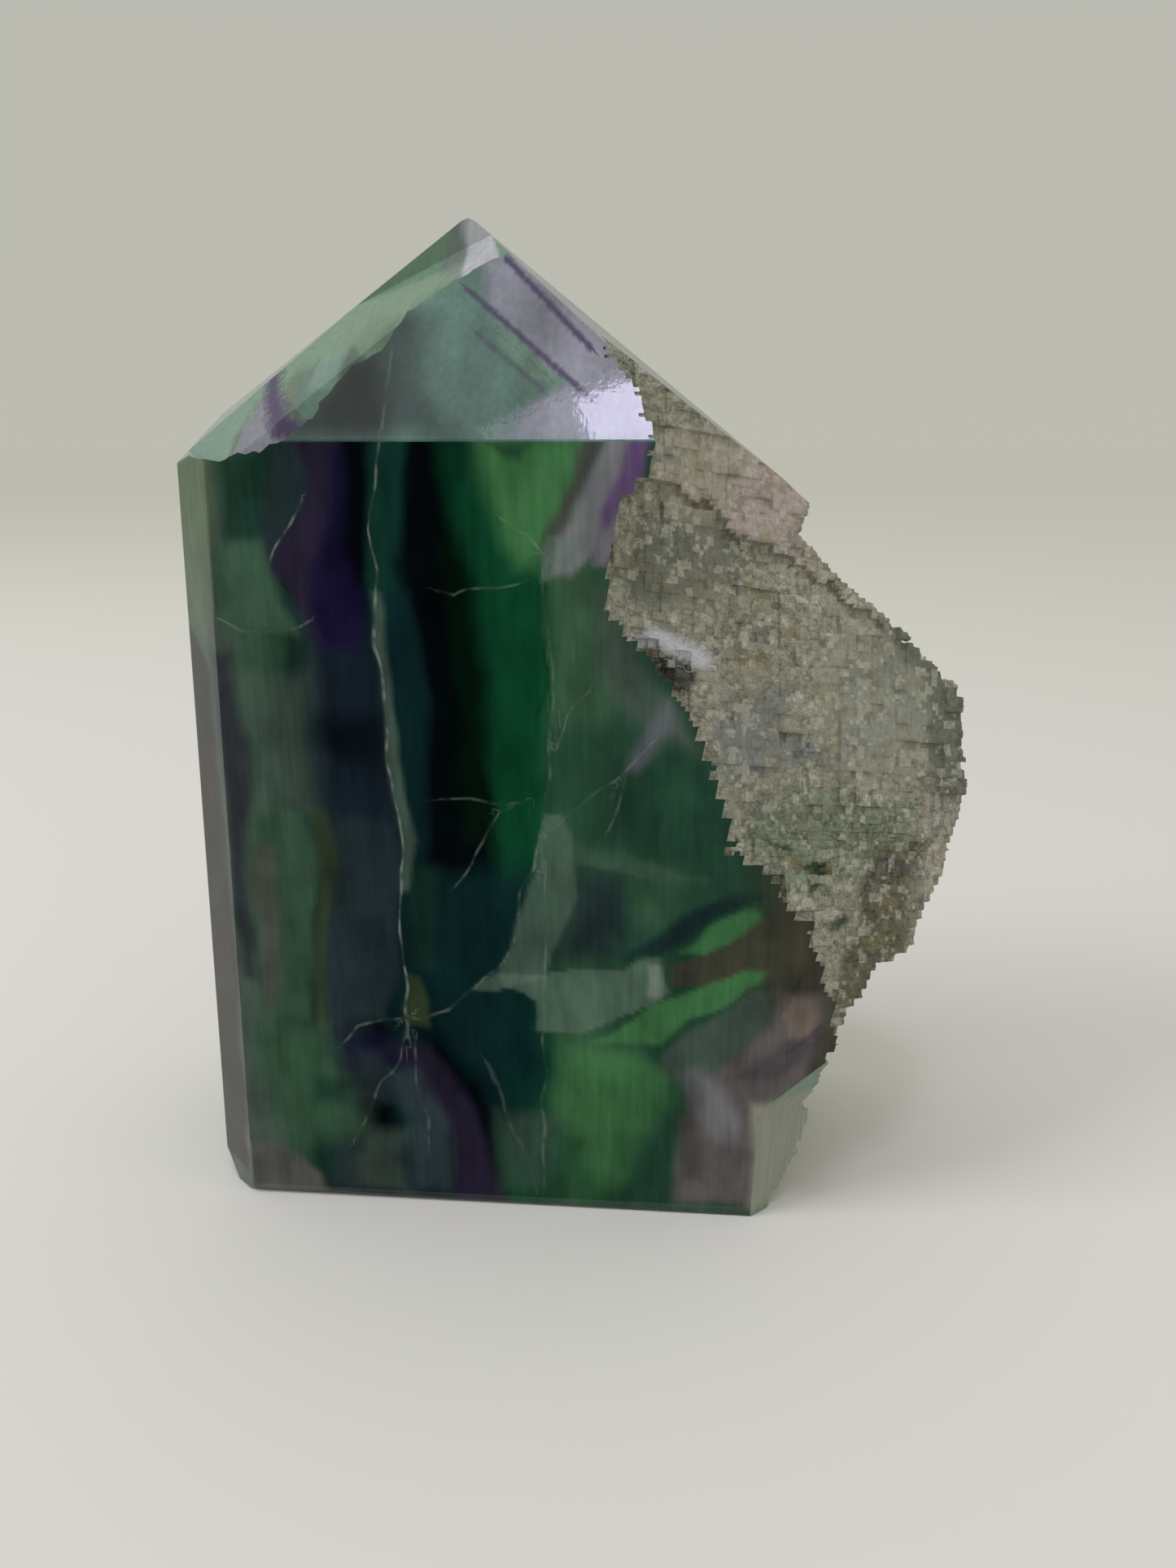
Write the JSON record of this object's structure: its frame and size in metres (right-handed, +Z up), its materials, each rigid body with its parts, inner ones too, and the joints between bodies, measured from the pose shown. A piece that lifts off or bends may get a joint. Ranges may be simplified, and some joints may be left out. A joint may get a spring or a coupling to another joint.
{
  "type": "fluorite slab",
  "caption": "Free-standing freeform slab of banded green and purple fluorite, polished to a low point, with one side left as natural stepped crystal.",
  "frame": {"origin": "centre of the slab's bounding box, on the plane of its sawn base", "axes": "+Z up to the point, +X from the polished left end to the natural side, -Y out of the polished front face"},
  "size_m": [0.1146, 0.044, 0.1402],
  "materials": {
    "fluorite": "polished"
  },
  "bodies": {
    "root": {"fluorite_slab": "fluorite"}
  },
  "joints": []
}
